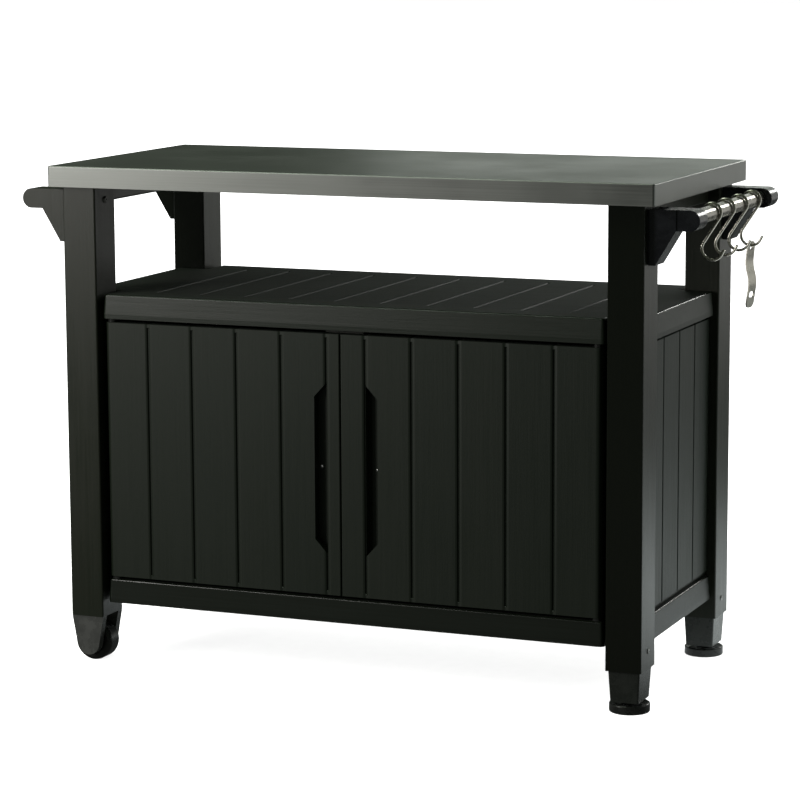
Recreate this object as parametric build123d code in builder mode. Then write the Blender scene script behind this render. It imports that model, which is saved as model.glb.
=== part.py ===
from build123d import *
import os
from math import acos, atan2, cos, degrees, hypot, radians, sin

# Outdoor prep table: a steel worktop on four hollow resin posts, an open shelf over a two-door
# cabinet, a towel bar on the left, a hook rail on the right, two wheels and two levelling feet.
# X runs along the table, Y from front to back, Z up. The origin is on the floor, at the middle.

# Overall sizes
table_height = 900.0
top_length = 1124.0
top_depth = 540.0

# Worktop: a folded steel sheet with a hemmed skirt over a ribbed core
sheet = 1.2
skirt_height = 37.0
skirt_corner = 4.0
fold_radius = 2.5
hem_width = 9.0
core_gap = 0.3
core_plate = 6.0
core_rib = 4.0
core_cells_long = 9
core_cells_deep = 5
core_cells_side = 4

# Posts
post_width = 64.0
post_depth = 76.0
post_wall = 3.5
post_corner = 3.0
post_inset_x = 21.5
post_inset_y = 15.2
post_rise = 3.0

# Shelf and cabinet base: shallow trays with the same plan, notched round the posts
shelf_top = 672.0
shelf_height = 43.0
base_top = 156.0
base_height = 43.0
tray_setback = 9.0
tray_post_gap = 6.0
tray_lip = 8.0
tray_draft = 5.0
tray_corner = 8.0
tray_wall = 4.0
tray_deck = 5.0
tray_edge = 3.5
tray_rib = 4.0
tray_rib_height = 18.0
tray_rib_count = 4
shelf_board_count = 11
shelf_groove_length = 380.0

# Boards and their grooves
panel_setback = 17.0
panel_thickness = 8.0
panel_tongue_gap = 1.5
shadow_gap = 7.0
shadow_depth = 4.0
shadow_slope = 30.0
groove_width = 5.0
groove_depth = 2.5
groove_slope = 38.0
groove_margin = 6.0
side_board_count = 4
back_board_count = 11

# Doors
door_thickness = 22.0
door_setback = 9.0
door_post_gap = 10.0
door_top_gap = 6.7
door_bottom_gap = 6.0
door_split_x = -10.5
door_gap = 2.0
door_board_count = 5
door_edge = 2.0
door_pocket_depth = 14.0
door_pocket_rim = 16.0
door_rib = 5.0

# Finger pulls, one in each door beside the meeting stile
stile_x = 36.5
pull_width = 23.0
pull_depth = 18.0
pull_middle_z = 386.0
pull_length = 302.0
pull_slope = 25.0
pull_floor = 4.0
pull_screw_radius = 3.0
pull_screw_height = 2.5
pull_screw_offset = 16.0

# Door pins and the stop behind the meeting edges
pin_radius = 4.0
pin_seat = 16.0
pin_reach = 18.0
pin_end_gap = 0.5
pin_collar_radius = 8.0
pin_boss_radius = 8.0
stop_width = 70.0
stop_depth = 20.0
stop_overlap = 25.0

# Side aprons under the worktop
apron_width = 20.0
apron_drop = 36.0

# Brackets and bars at both ends of the table
bar_reach = 64.0
bar_drop = 61.5
bar_radius = 13.0
bar_wall = 1.5
bar_seat = 32.0
arm_radius = 17.5
arm_tip = 8.0
arm_thickness = 44.0
bracket_thickness = 48.0
bracket_plate = 14.0
bracket_height = 93.0
bracket_seam = 49.0
bracket_edge = 3.0

# Hooks and bottle opener
hook_wire = 2.5
hook_bend_radius = 18.5
hook_bend_x = -12.0
hook_bend_drop = 60.5
hook_mouth_angle = 165.0
hook_tip_angle = -40.0
hook_tip_length = 9.0
hook_count = 4
hook_first_y = -85.0
hook_pitch = 80.0
opener_thickness = 2.5
opener_width = 27.0
opener_head = 10.0
opener_shank = 22.0
opener_bend_radius = 62.0
opener_bend_angle = 24.0
opener_back_angle = 27.0
opener_tail = 34.0
opener_twist = -12.0
opener_hole = 5.0
opener_corner = 10.0
opener_slot_width = 16.0
opener_slot_height = 11.0
opener_slot_corner = 3.5
opener_slot_rise = 24.0

# Wheels, forks and axles under the left posts
wheel_radius = 36.0
wheel_width = 38.0
wheel_shoulder = 7.0
wheel_recess_depth = 5.0
wheel_recess_radius = 25.0
wheel_hub_radius = 11.0
fork_top = 86.0
fork_step = 1.0
fork_slot = 44.0
fork_tip_radius = 22.0
axle_radius = 5.0
axle_seat = 10.0

# Levelling feet and their sockets under the right posts
socket_top = 75.0
socket_bottom = 20.5
socket_step = 4.0
socket_taper = 3.0
socket_floor = 16.0
plug_height = 48.0
plug_wall = 4.0
foot_radius = 35.0
foot_height = 15.5
foot_neck_radius = 13.0
foot_neck_height = 1.5
foot_edge = 2.5
stud_radius = 5.0
stud_top = 92.0
stud_seat = 8.0
stud_chamfer = 1.0
nut_flats = 17.0
nut_height = 8.0
nut_recess = 5.0

# Fasteners
bolt_radius = 3.0
bolt_depth = 24.0
bolt_head_radius = 6.0
bolt_head_height = 3.5
screw_radius = 2.3
screw_head_radius = 4.5
screw_head_height = 2.0
screw_length = 9.0
screw_height = 106.0

# Clearances
fit_gap = 0.05
rest_gap = 0.3
plug_gap = 0.2
hook_gap = 0.25

# Places worked out from the sizes above
post_x = top_length / 2 - post_inset_x - post_width / 2
post_y = top_depth / 2 - post_inset_y - post_depth / 2
post_outer_x = post_x + post_width / 2
post_inner_x = post_x - post_width / 2
post_outer_y = post_y + post_depth / 2
post_inner_y = post_y - post_depth / 2
post_top = table_height - skirt_height + post_rise
shelf_bottom = shelf_top - shelf_height
tray_end_x = post_inner_x - tray_post_gap
tray_x = post_outer_x - tray_setback
tray_y = post_outer_y - tray_setback
panel_x = post_outer_x - panel_setback
panel_y = post_outer_y - panel_setback
door_bottom = base_top + door_bottom_gap
door_top = shelf_bottom - door_top_gap
door_height = door_top - door_bottom
door_outer_x = post_inner_x - door_post_gap
door_front = post_outer_y - door_setback
pivot_x = door_outer_x - door_thickness / 2
pivot_y = -(door_front - door_thickness / 2)
hinge_places = [(-pivot_x, pivot_y), (pivot_x, pivot_y)]
door_pitch = (door_outer_x - stile_x) / door_board_count
shadow_lines = [base_top, shelf_bottom]
bar_x = post_outer_x + bar_reach
bar_z = table_height - bar_drop
axle_z = wheel_radius
sides = {"left": -1, "right": 1}
ends = {"front": -1, "rear": 1}

os.makedirs("parts", exist_ok=True)


def save(piece, name):
    """Label a finished piece and write its file."""
    piece.label = name
    export_step(piece, f"parts/{name}.step")


# Worktop sheet: an open pan with its lower edge hemmed inwards
skirt_bottom = table_height - skirt_height
with BuildPart() as worktop:
    with BuildSketch(Plane.XY.offset(skirt_bottom)):
        RectangleRounded(top_length, top_depth, skirt_corner)
    extrude(amount=skirt_height)
    fillet(worktop.faces().sort_by(Axis.Z)[-1].edges(), fold_radius)
    with BuildSketch(Plane.XY.offset(skirt_bottom)):
        Rectangle(top_length - 2 * hem_width, top_depth - 2 * hem_width)
    extrude(amount=sheet, mode=Mode.SUBTRACT)
    with BuildSketch(Plane.XY.offset(skirt_bottom + sheet)):
        RectangleRounded(top_length - 2 * sheet, top_depth - 2 * sheet, skirt_corner - sheet)
    extrude(amount=skirt_height - 2 * sheet, mode=Mode.SUBTRACT)
save(worktop.part, "worktop")

# Ribbed core that stiffens the sheet and seats on the posts
core_length = top_length - 2 * (sheet + core_gap)
core_depth = top_depth - 2 * (sheet + core_gap)
core_height = table_height - sheet - post_top
cell_length = (2 * post_inner_x - core_rib) / core_cells_long
cell_depth = (core_depth - core_rib) / core_cells_deep
side_cell_length = (core_length / 2 - post_inner_x) - 2 * core_rib
side_cell_depth = (2 * post_inner_y - core_rib) / core_cells_side
side_cell_x = post_inner_x + core_rib + side_cell_length / 2
with BuildPart() as top_core:
    with BuildSketch(Plane.XY.offset(post_top)):
        RectangleRounded(core_length, core_depth, skirt_corner - sheet)
    extrude(amount=core_height)
    with BuildSketch(Plane.XY.offset(post_top)):
        with GridLocations(cell_length, cell_depth, core_cells_long, core_cells_deep):
            Rectangle(cell_length - core_rib, cell_depth - core_rib)
        for side in sides.values():
            with Locations((side * side_cell_x, 0)):
                with GridLocations(0, side_cell_depth, 1, core_cells_side):
                    Rectangle(side_cell_length, side_cell_depth - core_rib)
    extrude(amount=core_height - core_plate, mode=Mode.SUBTRACT)
    fillet(top_core.faces().sort_by(Axis.Z)[-1].edges(), fold_radius)
save(top_core.part, "top_core")


def make_apron(side):
    """Beam under one end of the worktop, between the front and rear posts."""
    with BuildPart() as apron:
        with BuildSketch(Plane.XY.offset(post_top)):
            with Locations((side * post_x, 0)):
                Rectangle(apron_width, 2 * post_inner_y)
        extrude(amount=-apron_drop)
        fillet(apron.faces().sort_by(Axis.Z)[0].edges().filter_by(Axis.Y), tray_edge)
    return apron.part


for side_name, side in sides.items():
    save(make_apron(side), f"{side_name}_apron")


def make_post(side, end, bottom):
    """Hollow post, closed at the top, with holes for the bracket bolt and the foot screw."""
    with BuildPart() as post:
        with BuildSketch(Plane.XY.offset(bottom)):
            with Locations((side * post_x, end * post_y)):
                RectangleRounded(post_width, post_depth, post_corner)
        extrude(amount=post_top - bottom)
        with BuildSketch(Plane.XY.offset(bottom)):
            with Locations((side * post_x, end * post_y)):
                Rectangle(post_width - 2 * post_wall, post_depth - 2 * post_wall)
        extrude(amount=post_top - bottom - post_wall, mode=Mode.SUBTRACT)
        with BuildSketch(Plane.YZ.offset(side * post_x)):
            with Locations((end * post_y, bar_z)):
                Circle(bolt_radius + fit_gap)
        extrude(amount=post_width, both=True, mode=Mode.SUBTRACT)
        with BuildSketch(Plane.YZ.offset(side * post_x)):
            with Locations((end * post_y, screw_height)):
                Circle(screw_radius + fit_gap)
        extrude(amount=side * post_width, mode=Mode.SUBTRACT)
    return post.part


for side_name, side in sides.items():
    for end_name, end in ends.items():
        post_bottom = fork_top if side < 0 else socket_top
        save(make_post(side, end, post_bottom), f"{end_name}_{side_name}_post")


def tray_plan(inset=0.0):
    """Plan of the shelf and the base, drawn into the open sketch."""
    RectangleRounded(2 * (tray_end_x - inset), 2 * (tray_y - inset), tray_corner - inset)
    RectangleRounded(2 * (tray_x - inset), 2 * (post_inner_y - inset), tray_corner - inset)


def make_tray(top, height, boss_height):
    """Deck with walls down all round, ribs underneath and two bosses for the door pins."""
    bottom = top - height
    stages = ((bottom, tray_lip, 0.0), (bottom + tray_lip, height - tray_lip, tray_draft))
    rib_pitch = 2 * post_inner_x / (tray_rib_count + 1)
    rib_length = 2 * (panel_y - panel_thickness - tray_edge)
    with BuildPart() as tray:
        for level, rise, lean in stages:
            with BuildSketch(Plane.XY.offset(level)):
                tray_plan()
            extrude(amount=rise, taper=lean)
        fillet(tray.faces().sort_by(Axis.Z)[-1].outer_wire().edges(), tray_edge)
        for level, rise, lean in stages:
            with BuildSketch(Plane.XY.offset(level)):
                tray_plan(tray_wall)
            extrude(amount=min(rise, top - tray_deck - level), taper=lean, mode=Mode.SUBTRACT)
        with BuildSketch(Plane.XY.offset(top - tray_deck - tray_rib_height)):
            with GridLocations(rib_pitch, 0, tray_rib_count, 1):
                Rectangle(tray_rib, rib_length)
        extrude(amount=tray_rib_height)
        with BuildSketch(Plane.XY.offset(top - tray_deck)):
            with Locations(*hinge_places):
                Circle(pin_boss_radius)
        extrude(amount=-boss_height)
    return tray.part


# Shelf: grooved deck, with the pin holes in the bosses underneath
shelf_tray = make_tray(shelf_top, shelf_height, shelf_height - tray_deck)
with BuildPart() as shelf:
    add(shelf_tray)
    with BuildSketch(Plane.XY.offset(shelf_top)):
        with GridLocations(2 * post_inner_x / shelf_board_count, 0, shelf_board_count - 1, 1):
            Rectangle(groove_width, shelf_groove_length)
    extrude(amount=-groove_depth, taper=groove_slope, mode=Mode.SUBTRACT)
    with BuildSketch(Plane.XY.offset(shelf_bottom)):
        with Locations(*hinge_places):
            Circle(pin_radius + fit_gap)
    extrude(amount=pin_seat + pin_end_gap, mode=Mode.SUBTRACT)
save(shelf.part, "shelf")

# Base: the cabinet floor, with the pin holes open at the deck
base_tray = make_tray(base_top, base_height, pin_seat)
with BuildPart() as base:
    add(base_tray)
    with BuildSketch(Plane.XY.offset(base_top)):
        with Locations(*hinge_places):
            Circle(pin_radius + fit_gap)
    extrude(amount=-(pin_seat + pin_end_gap), mode=Mode.SUBTRACT)
save(base.part, "base")


def make_side_panel(side):
    """Grooved boards between the front and rear posts, with a tongue up inside the shelf."""
    panel_height = shelf_bottom - base_top
    tongue_top = shelf_top - tray_deck
    tongue_length = 2 * (post_inner_y - tray_corner - panel_tongue_gap)
    middle_x = side * (panel_x - panel_thickness / 2)
    board = 2 * post_inner_y / side_board_count
    with BuildPart() as panel:
        with BuildSketch(Plane.XY.offset(base_top)):
            with Locations((middle_x, 0)):
                Rectangle(panel_thickness, 2 * post_inner_y)
        extrude(amount=panel_height)
        with BuildSketch(Plane.XY.offset(shelf_bottom)):
            with Locations((middle_x, 0)):
                Rectangle(panel_thickness, tongue_length)
        extrude(amount=tongue_top - shelf_bottom)
        with BuildSketch(Plane.YZ.offset(side * panel_x)):
            with Locations((0, base_top + panel_height / 2)):
                with GridLocations(board, 0, side_board_count - 1, 1):
                    Rectangle(groove_width, panel_height - 2 * groove_margin)
        extrude(amount=-side * groove_depth, taper=groove_slope, mode=Mode.SUBTRACT)
        with BuildSketch(Plane.YZ.offset(side * panel_x)):
            with Locations(*[(0, z) for z in shadow_lines]):
                Rectangle(2 * (post_inner_y + shadow_gap), 2 * shadow_gap)
        extrude(amount=-side * shadow_depth, taper=shadow_slope, mode=Mode.SUBTRACT)
    return panel.part


for side_name, side in sides.items():
    save(make_side_panel(side), f"{side_name}_panel")

# Back panel: grooved boards between the rear posts
back_height = shelf_bottom - base_top
back_board = 2 * post_inner_x / back_board_count
with BuildPart() as back_panel:
    with BuildSketch(Plane.XY.offset(base_top)):
        with Locations((0, panel_y - panel_thickness / 2)):
            Rectangle(2 * post_inner_x, panel_thickness)
    extrude(amount=back_height)
    with BuildSketch(Plane.XY.offset(shelf_bottom)):
        with Locations((0, panel_y - panel_thickness / 2)):
            Rectangle(2 * (tray_end_x - tray_corner - panel_tongue_gap), panel_thickness)
    extrude(amount=shelf_height - tray_deck)
    with BuildSketch(Plane.XZ.offset(-panel_y)):
        with Locations((0, base_top + back_height / 2)):
            with GridLocations(back_board, 0, back_board_count - 1, 1):
                Rectangle(groove_width, back_height - 2 * groove_margin)
    extrude(amount=groove_depth, taper=groove_slope, mode=Mode.SUBTRACT)
    with BuildSketch(Plane.XZ.offset(-panel_y)):
        with Locations(*[(0, z) for z in shadow_lines]):
            Rectangle(2 * (post_inner_x + shadow_gap), 2 * shadow_gap)
    extrude(amount=shadow_depth, taper=shadow_slope, mode=Mode.SUBTRACT)
save(back_panel.part, "back_panel")


def make_door(side):
    """Door with its hinge edge rolled about the pin, grooved boards, a finger pull and a ribbed back."""
    hinge_x = side * pivot_x
    meeting_x = door_split_x + side * door_gap / 2
    width = abs(hinge_x - meeting_x)
    groove_xs = [side * (stile_x + i * door_pitch) for i in range(door_board_count)]
    front = Plane.XZ.offset(door_front)
    back = Plane.XZ.offset(door_front - door_thickness)
    middle_z = (door_bottom + door_top) / 2
    pull_x = side * stile_x
    pull_end_x = side * (stile_x + pull_width)
    pull_low = pull_middle_z - pull_length / 2
    pull_high = pull_middle_z + pull_length / 2
    with BuildPart() as door:
        with BuildSketch(Plane.XY.offset(door_bottom)):
            with Locations((hinge_x, pivot_y)):
                Circle(door_thickness / 2)
            with Locations(((hinge_x + meeting_x) / 2, pivot_y)):
                Rectangle(width, door_thickness)
        extrude(amount=door_height)
        fillet(door.edges().filter_by(Axis.Z).sort_by_distance((meeting_x, pivot_y, middle_z))[:2], door_edge)
        with BuildSketch(front):
            with Locations(*[(x, middle_z) for x in groove_xs]):
                Rectangle(groove_width, door_height - 2 * groove_margin)
        extrude(amount=-groove_depth, taper=groove_slope, mode=Mode.SUBTRACT)
        with BuildSketch(front):
            with BuildLine():
                Polyline(
                    (pull_x, pull_low),
                    (pull_end_x, pull_low + pull_slope),
                    (pull_end_x, pull_high - pull_slope),
                    (pull_x, pull_high),
                    close=True,
                )
            make_face()
        extrude(amount=-pull_depth, mode=Mode.SUBTRACT)
        with BuildSketch(back):
            for i, groove_x in enumerate(groove_xs):
                inner_x = groove_x if i else pull_end_x + side * pull_floor
                outer_x = side * (stile_x + (i + 1) * door_pitch)
                if i == door_board_count - 1:
                    outer_x = hinge_x - side * pin_boss_radius
                with Locations(((inner_x + outer_x) / 2, middle_z)):
                    Rectangle(abs(outer_x - inner_x) - door_rib, door_height - 2 * door_pocket_rim)
        extrude(amount=door_pocket_depth, mode=Mode.SUBTRACT)
        for level, direction in ((door_bottom, 1), (door_top, -1)):
            with BuildSketch(Plane.XY.offset(level)):
                with Locations((hinge_x, pivot_y)):
                    Circle(pin_radius + fit_gap)
            extrude(amount=direction * (pin_reach + pin_end_gap), mode=Mode.SUBTRACT)
    return door.part


def make_pull_screw(side):
    """Round screw head on the floor of the finger pull."""
    with BuildPart() as screw:
        with BuildSketch(Plane.XZ.offset(door_front - pull_depth)):
            with Locations((side * (stile_x + pull_screw_offset), pull_middle_z)):
                Circle(pull_screw_radius)
        extrude(amount=pull_screw_height)
        fillet(screw.faces().sort_by(Axis.Y)[0].edges(), pull_screw_height / 2)
    return screw.part


def make_door_pins(side):
    """Lower and upper hinge pin of one door, each with a collar that fills the gap beside the door."""
    hinge = (side * pivot_x, pivot_y)
    with BuildPart() as pins:
        for seat, door_face, direction in ((base_top, door_bottom, 1), (shelf_bottom, door_top, -1)):
            shank = pin_seat + abs(door_face - seat) + pin_reach
            with BuildSketch(Plane.XY.offset(seat - direction * pin_seat)):
                with Locations(hinge):
                    Circle(pin_radius)
            extrude(amount=direction * shank)
            with BuildSketch(Plane.XY.offset(seat)):
                with Locations(hinge):
                    Circle(pin_collar_radius)
            extrude(amount=direction * (abs(door_face - seat) - rest_gap))
    return pins.part


for side_name, side in sides.items():
    save(make_door(side), f"{side_name}_door")
    save(make_pull_screw(side), f"{side_name}_pull_screw")
    save(make_door_pins(side), f"{side_name}_door_pins")

# Stop under the shelf, behind the meeting edges of the doors
stop_front = -(door_front - door_thickness) + rest_gap
with BuildPart() as door_stop:
    with BuildSketch(Plane.XY.offset(shelf_top - tray_deck)):
        with Locations((door_split_x, stop_front + stop_depth / 2)):
            Rectangle(stop_width, stop_depth)
    extrude(amount=-(shelf_top - tray_deck - door_top + stop_overlap))
    fillet(door_stop.faces().sort_by(Axis.Z)[0].edges(), tray_edge)
save(door_stop.part, "door_stop")


def make_bracket(side, end):
    """Bracket on the outer face of a post: plate, gusset and a round-ended arm with a socket for the bar."""
    middle = Plane.XZ.offset(-end * post_y)
    plate_x = side * (post_outer_x + bracket_plate)
    seam_x = side * (post_outer_x + bracket_seam)
    face_x = side * post_outer_x
    arm_top = bar_z + arm_radius
    arm_bottom = bar_z - arm_radius
    with BuildPart() as bracket:
        with BuildSketch(middle):
            with BuildLine():
                Polyline(
                    (face_x, arm_top - bracket_height),
                    (plate_x, arm_top - bracket_height),
                    (seam_x, arm_bottom),
                    (seam_x, arm_top),
                    (face_x, arm_top),
                    close=True,
                )
            make_face()
        extrude(amount=bracket_thickness / 2, both=True)
        plate_foot = bracket.edges().filter_by(Axis.Y).sort_by(Axis.Z)[:2]
        fillet(plate_foot.sort_by(Axis.X)[min(side, 0)], bracket_edge)
        with BuildSketch(middle):
            with Locations((face_x + side * (bar_reach + arm_tip) / 2, bar_z)):
                Rectangle(bar_reach + arm_tip, 2 * arm_radius)
            with Locations((side * (bar_x + arm_tip), bar_z)):
                Circle(arm_radius)
        extrude(amount=arm_thickness / 2, both=True)
        with BuildSketch(Plane.XZ.offset(-end * (post_y - arm_thickness / 2))):
            with Locations((side * bar_x, bar_z)):
                Circle(bar_radius + fit_gap)
        extrude(amount=-end * bar_seat, mode=Mode.SUBTRACT)
        with BuildSketch(Plane.YZ.offset(face_x)):
            with Locations((end * post_y, bar_z)):
                Circle(bolt_radius + fit_gap)
        extrude(amount=side * (bolt_depth + pin_end_gap), mode=Mode.SUBTRACT)
    return bracket.part


def make_bar(side):
    """Round tube held in the sockets of the front and rear brackets."""
    length = 2 * (post_y - arm_thickness / 2 + bar_seat - pin_end_gap)
    with BuildPart() as bar:
        with BuildSketch(Plane.XZ):
            with Locations((side * bar_x, bar_z)):
                Circle(bar_radius)
                Circle(bar_radius - bar_wall, mode=Mode.SUBTRACT)
        extrude(amount=length / 2, both=True)
    return bar.part


for side_name, side in sides.items():
    for end_name, end in ends.items():
        save(make_bracket(side, end), f"{end_name}_{side_name}_bracket")
save(make_bar(sides["left"]), "towel_bar")
save(make_bar(sides["right"]), "hook_rail")

# Bolts that hold the brackets, put in from the inner faces of the posts
with BuildPart() as bracket_bolts:
    for side in sides.values():
        for end in ends.values():
            with BuildSketch(Plane.YZ.offset(side * post_inner_x)):
                with Locations((end * post_y, bar_z)):
                    Circle(bolt_radius)
            extrude(amount=side * (post_width + bolt_depth))
            with BuildSketch(Plane.YZ.offset(side * post_inner_x)):
                with Locations((end * post_y, bar_z)):
                    Circle(bolt_head_radius)
            extrude(amount=-side * bolt_head_height)
save(bracket_bolts.part, "bracket_bolts")

# Hook: wire bent in an S, drawn about the rail's axis as seen from the front
loop_radius = bar_radius + hook_gap + hook_wire
bend_place = (hook_bend_x, -hook_bend_drop)
bend_direction = degrees(atan2(-hook_bend_drop, hook_bend_x))
shank_turn = degrees(acos((loop_radius + hook_bend_radius) / hypot(*bend_place)))
leave_angle = bend_direction + shank_turn
meet_angle = leave_angle + 180


def polar(centre, radius, angle):
    """Point on a circle at an angle in degrees."""
    return (centre[0] + radius * cos(radians(angle)), centre[1] + radius * sin(radians(angle)))


tip = polar(bend_place, hook_bend_radius, hook_tip_angle)
with BuildPart() as hook:
    with BuildLine(Plane.XZ) as hook_path:
        CenterArc((0, 0), loop_radius, hook_mouth_angle, leave_angle - hook_mouth_angle)
        Line(polar((0, 0), loop_radius, leave_angle), polar(bend_place, hook_bend_radius, meet_angle))
        CenterArc(bend_place, hook_bend_radius, meet_angle, 360 + hook_tip_angle - meet_angle)
        Line(tip, polar(tip, hook_tip_length, hook_tip_angle + 90))
    with BuildSketch(Plane(origin=hook_path.line @ 0, z_dir=hook_path.line % 0)):
        Circle(hook_wire)
    sweep()
    fillet(hook.faces().filter_by(GeomType.PLANE).edges(), hook_wire / 2)

# Bottle opener: a flat strip with a gentle S, drawn about the point where it hangs on the wire
opener_drop = opener_hole - hook_wire - hook_gap
with BuildPart() as opener:
    with BuildSketch(Plane.XZ):
        with BuildLine():
            head = Line((0, opener_head - opener_drop), (0, -opener_shank))
            lean = JernArc(head @ 1, head % 1, opener_bend_radius, opener_bend_angle)
            back = JernArc(lean @ 1, lean % 1, opener_bend_radius, -opener_back_angle)
            Line(back @ 1, back @ 1 + (back % 1) * opener_tail)
        trace(line_width=opener_thickness)
    extrude(amount=opener_width / 2, both=True)
    corners = opener.edges().filter_by(lambda e: abs(e.length - opener_thickness) < hook_gap)
    fillet(corners, opener_corner)
    with BuildSketch(Plane.YZ):
        with Locations((0, -opener_drop)):
            Circle(opener_hole)
    extrude(amount=opener_head, both=True, mode=Mode.SUBTRACT)
    opener_bottom = opener.part.bounding_box().min.Z
    with BuildSketch(Plane.YZ):
        with Locations((0, opener_bottom + opener_slot_rise)):
            RectangleRounded(opener_slot_width, opener_slot_height, opener_slot_corner)
    extrude(amount=opener_bend_radius, both=True, mode=Mode.SUBTRACT)


def balance(weight_point):
    """Turn about Y that brings a point straight below the origin."""
    return degrees(atan2(weight_point.X, -weight_point.Z))


# Each hook hangs with its weight under the rail, the last one with the opener's weight in its bowl
hook_centre = hook.part.center(CenterOf.MASS)
bowl_centre = Vector(hook_bend_x, 0, -hook_bend_drop)
opener_share = opener.part.volume / (opener.part.volume + hook.part.volume)
loaded_centre = hook_centre * (1 - opener_share) + bowl_centre * opener_share
for i in range(hook_count):
    hook_y = hook_first_y + i * hook_pitch
    lean_angle = balance(loaded_centre if i == hook_count - 1 else hook_centre)
    save(Pos(bar_x, hook_y, bar_z) * hook.part.rotate(Axis.Y, lean_angle), f"hook_{i + 1}")

bowl_turned = bowl_centre.rotate(Axis.Y, lean_angle)
opener_place = Pos(bar_x + bowl_turned.X, hook_y, bar_z + bowl_turned.Z - hook_bend_radius)
opener_lean = balance(opener.part.center(CenterOf.MASS))
opener_turned = opener.part.rotate(Axis.Y, opener_lean).rotate(Axis.Z, opener_twist)
save(opener_place * opener_turned, "bottle_opener")


def make_plug(side, end, bottom):
    """Block that fits up inside the foot of a post, hollow from above, with a hole for its screw."""
    width = post_width - 2 * (post_wall + plug_gap)
    depth = post_depth - 2 * (post_wall + plug_gap)
    place = (side * post_x, end * post_y)
    with BuildPart() as plug:
        with BuildSketch(Plane.XY.offset(bottom)):
            with Locations(place):
                Rectangle(width, depth)
        extrude(amount=plug_height)
        with BuildSketch(Plane.XY.offset(bottom + plug_height)):
            with Locations(place):
                Rectangle(width - 2 * plug_wall, depth - 2 * plug_wall)
        extrude(amount=-(plug_height - plug_wall), mode=Mode.SUBTRACT)
        with BuildSketch(Plane.YZ.offset(side * post_x)):
            with Locations((end * post_y, screw_height)):
                Circle(screw_radius + fit_gap)
        extrude(amount=side * post_width, mode=Mode.SUBTRACT)
    return plug.part


def make_fork(end):
    """Wheel fork: a plug with two round-ended cheeks and blind holes for the axle."""
    side = sides["left"]
    cheek_depth = post_depth / 2 - fork_step
    plug = make_plug(side, end, fork_top)
    with BuildPart() as fork:
        with BuildSketch(Plane.XZ.offset(-end * post_y)):
            with Locations((side * post_x, axle_z)):
                Circle(fork_tip_radius)
            with Locations((side * post_x, fork_top - fork_step)):
                Rectangle(post_width - 2 * fork_step, 2 * fork_step)
            make_hull()
        extrude(amount=cheek_depth, both=True)
        with BuildSketch(Plane.YZ.offset(side * post_x)):
            with Locations((end * post_y, fork_top / 2)):
                Rectangle(fork_slot, fork_top)
        extrude(amount=post_width, both=True, mode=Mode.SUBTRACT)
        with BuildSketch(Plane.XZ.offset(-end * post_y)):
            with Locations((side * post_x, axle_z)):
                Circle(axle_radius + fit_gap)
        extrude(amount=fork_slot / 2 + axle_seat + pin_end_gap, both=True, mode=Mode.SUBTRACT)
        add(plug)
    return fork.part


def make_wheel(end):
    """Moulded wheel with round shoulders, a dished face on each side and a plain bore."""
    place = (sides["left"] * post_x, axle_z)
    with BuildPart() as wheel:
        with BuildSketch(Plane.XZ.offset(-end * post_y)):
            with Locations(place):
                Circle(wheel_radius)
        extrude(amount=wheel_width / 2, both=True)
        fillet(wheel.edges().filter_by(GeomType.CIRCLE), wheel_shoulder)
        for face in (-1, 1):
            with BuildSketch(Plane.XZ.offset(-end * post_y + face * wheel_width / 2)):
                with Locations(place):
                    Circle(wheel_recess_radius)
                    Circle(wheel_hub_radius, mode=Mode.SUBTRACT)
            extrude(amount=-face * wheel_recess_depth, mode=Mode.SUBTRACT)
        with BuildSketch(Plane.XZ.offset(-end * post_y)):
            with Locations(place):
                Circle(axle_radius + fit_gap)
        extrude(amount=wheel_width, both=True, mode=Mode.SUBTRACT)
    return wheel.part


def make_axle(end):
    """Plain pin across the fork."""
    with BuildPart() as axle:
        with BuildSketch(Plane.XZ.offset(-end * post_y)):
            with Locations((sides["left"] * post_x, axle_z)):
                Circle(axle_radius)
        extrude(amount=fork_slot / 2 + axle_seat, both=True)
    return axle.part


def make_socket(end):
    """Foot socket: a plug with a tapering sleeve below it, a recess for the nut and a hole for the stud."""
    side = sides["right"]
    place = (side * post_x, end * post_y)
    upper = (post_width - 2 * socket_step, post_depth - 2 * socket_step)
    lower = (upper[0] - 2 * socket_taper, upper[1] - 2 * socket_taper)
    pocket_width = post_width - 2 * (post_wall + plug_gap + plug_wall)
    pocket_depth = post_depth - 2 * (post_wall + plug_gap + plug_wall)
    plug = make_plug(side, end, socket_top)
    with BuildPart() as socket:
        with BuildSketch(Plane.XY.offset(socket_bottom)):
            with Locations(place):
                RectangleRounded(*lower, post_corner)
        with BuildSketch(Plane.XY.offset(socket_top)):
            with Locations(place):
                RectangleRounded(*upper, post_corner)
        loft()
        add(plug)
        with BuildSketch(Plane.XY.offset(socket_bottom + socket_floor)):
            with Locations(place):
                Rectangle(pocket_width - 2 * socket_taper, pocket_depth - 2 * socket_taper)
        extrude(amount=socket_top + plug_height - socket_bottom, mode=Mode.SUBTRACT)
        with BuildSketch(Plane.XY.offset(socket_bottom + socket_floor)):
            with Locations(place):
                RegularPolygon((nut_flats / 2 + fit_gap), 6, major_radius=False)
        extrude(amount=-nut_recess, mode=Mode.SUBTRACT)
        with BuildSketch(Plane.XY.offset(socket_bottom)):
            with Locations(place):
                Circle(stud_radius + rest_gap)
        extrude(amount=socket_floor, mode=Mode.SUBTRACT)
    return socket.part


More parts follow.
